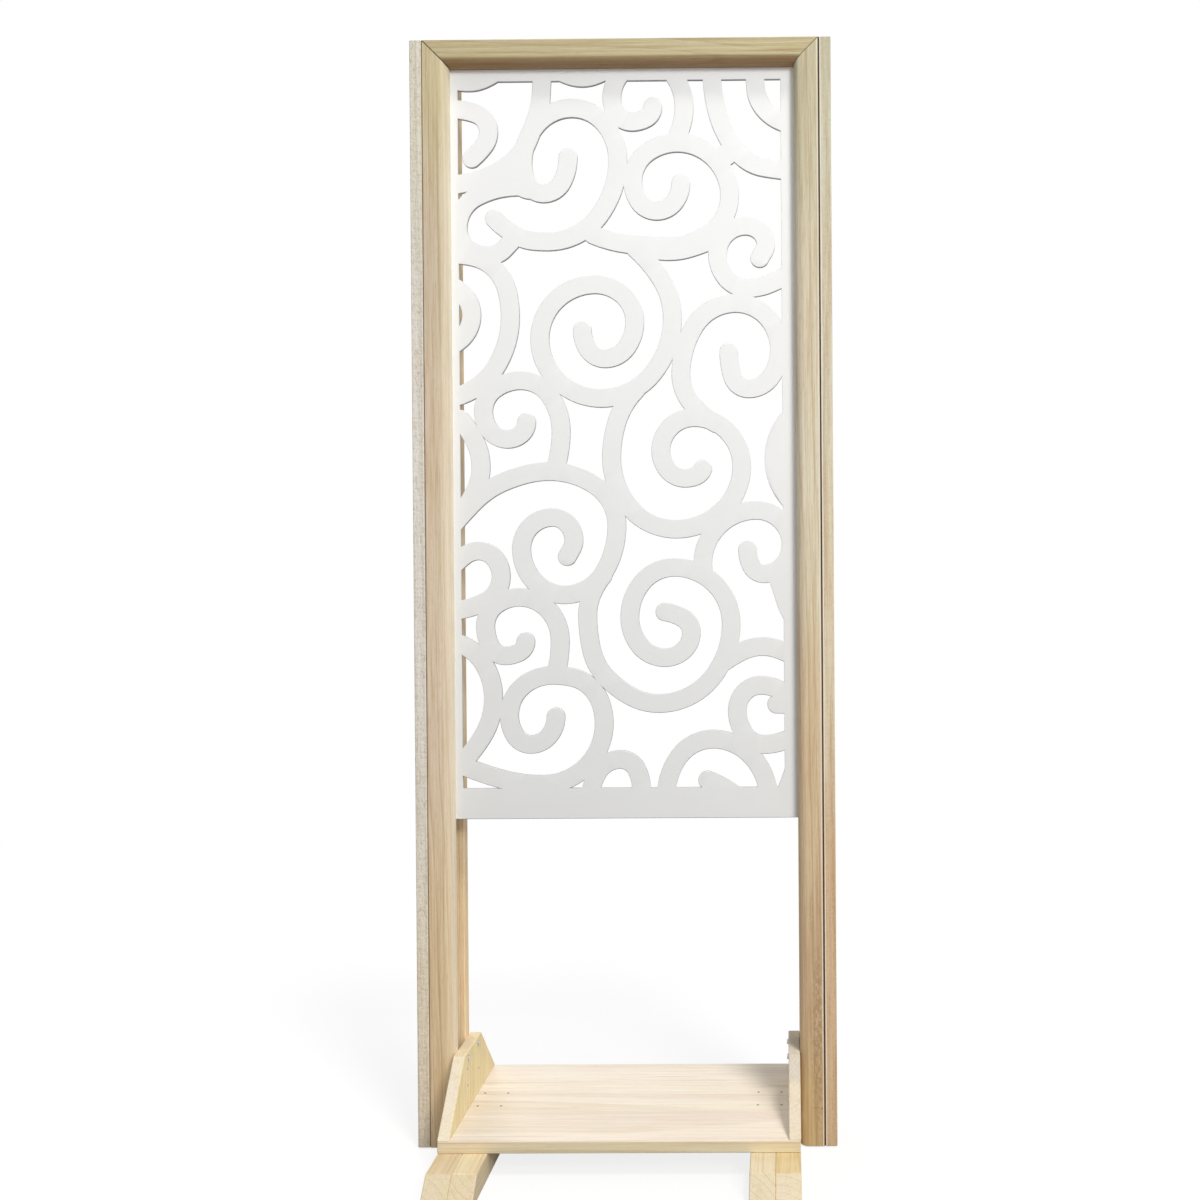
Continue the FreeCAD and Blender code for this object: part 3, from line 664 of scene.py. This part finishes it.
def pale_floor():
    finish = new_finish("pale_floor")
    x, y, _ = finish.place()
    far = (x * x + y * y).root().between(WHITE_FROM, WHITE_AT)
    matt = finish.add("ShaderNodeBsdfDiffuse", None, {"Color": FLOOR_GREY})
    faint = finish.add("ShaderNodeBsdfDiffuse", None, {"Color": FLOOR_SEEN})
    glow = finish.add("ShaderNodeEmission", None, {"Color": FLOOR_GLOW})
    white = finish.add("ShaderNodeEmission", None, {"Color": WHITE})
    near = finish.add("ShaderNodeAddShader", None, {0: faint, 1: glow})
    seen = finish.add("ShaderNodeMixShader", None, {0: far, 1: near, 2: white})
    both = finish.add("ShaderNodeMixShader", None, {0: finish.background(), 1: matt, 2: seen})
    finish.add("ShaderNodeOutputMaterial", None, {"Surface": both})
    return finish.owner


ground = bmesh.new()
bmesh.ops.create_circle(ground, cap_ends=True, segments=FLOOR_SIDES, radius=FLOOR_RADIUS)
floor = in_scene("floor", as_mesh(ground, "floor"))
floor.data.materials.append(pale_floor())

# Light: a cool even glow, soft lamps and a wide sun from above
GLOW = {"Color": (0.93, 0.96, 1.0), "Strength": 0.45}
BACKDROP = {"Color": WHITE, "Strength": 1.0}
# Place, target, width in metres, watts and colour
LAMPS = {
    "key": ((2.2, -3.6, 3.1), (0.0, 0.0, 1.0), 1.5, 92, (1.0, 0.99, 0.97)),
    "rear_fill": ((-2.2, 3.6, 2.6), (0.0, 0.0, 0.9), 1.8, 48, (1.0, 0.99, 0.97)),
    "fill": ((0.9, -2.0, 0.5), (0.0, 0.0, 0.5), 0.8, 5, (1.0, 0.98, 0.95)),
}
SUN_STRENGTH = 1.32
SUN_WIDTH = math.radians(10)
SUN_COLOUR = (1.0, 0.97, 0.92)
SUN_DIRECTION = (-0.24, 0.36, -0.90)

world = bpy.data.worlds.new("studio")
scene.world = world
surroundings = Finish(world)
ambient = surroundings.add("ShaderNodeBackground", None, GLOW)
backdrop = surroundings.add("ShaderNodeBackground", None, BACKDROP)
sources = {0: surroundings.background(), 1: ambient, 2: backdrop}
choice = surroundings.add("ShaderNodeMixShader", None, sources)
surroundings.add("ShaderNodeOutputWorld", None, {"Surface": choice})


def lamp_turn(direction):
    """The turn of a lamp that shines in a direction."""
    return direction.to_track_quat("-Z", "Y").to_euler()


def softbox(name, place, target, width, watts, colour):
    lamp = bpy.data.lights.new(name, "AREA")
    lamp.shape = "DISK"
    lamp.size = width
    lamp.energy = watts
    lamp.color = colour
    holder = in_scene(name, lamp)
    holder.location = place
    holder.rotation_euler = lamp_turn(Vector(target) - Vector(place))


for name, settings in LAMPS.items():
    softbox(name, *settings)

overhead = bpy.data.lights.new("overhead", "SUN")
overhead.energy = SUN_STRENGTH
overhead.angle = SUN_WIDTH
overhead.color = SUN_COLOUR
in_scene("overhead", overhead).rotation_euler = lamp_turn(Vector(SUN_DIRECTION))

# Camera: to the right of the screen, turned a little towards it, its picture shifted as in the photograph
PHOTO_WIDTH = 1200
FOCAL_PIXELS = 1197.5
LENS_AXIS = (779.0, 585.2)
SENSOR = 36
CAMERA_PLACE = (0.2515, -1.8775, 0.8815)
CAMERA_TURN = [math.radians(angle) for angle in (89.66, 0.38, 0.35)]
lens = bpy.data.cameras.new("camera")
lens.sensor_width = SENSOR
lens.lens = FOCAL_PIXELS / PHOTO_WIDTH * SENSOR
lens.shift_x = (PHOTO_WIDTH / 2 - LENS_AXIS[0]) / PHOTO_WIDTH
lens.shift_y = (LENS_AXIS[1] - PHOTO_WIDTH / 2) / PHOTO_WIDTH
viewer = in_scene("camera", lens)
viewer.location = CAMERA_PLACE
viewer.rotation_euler = CAMERA_TURN
scene.camera = viewer
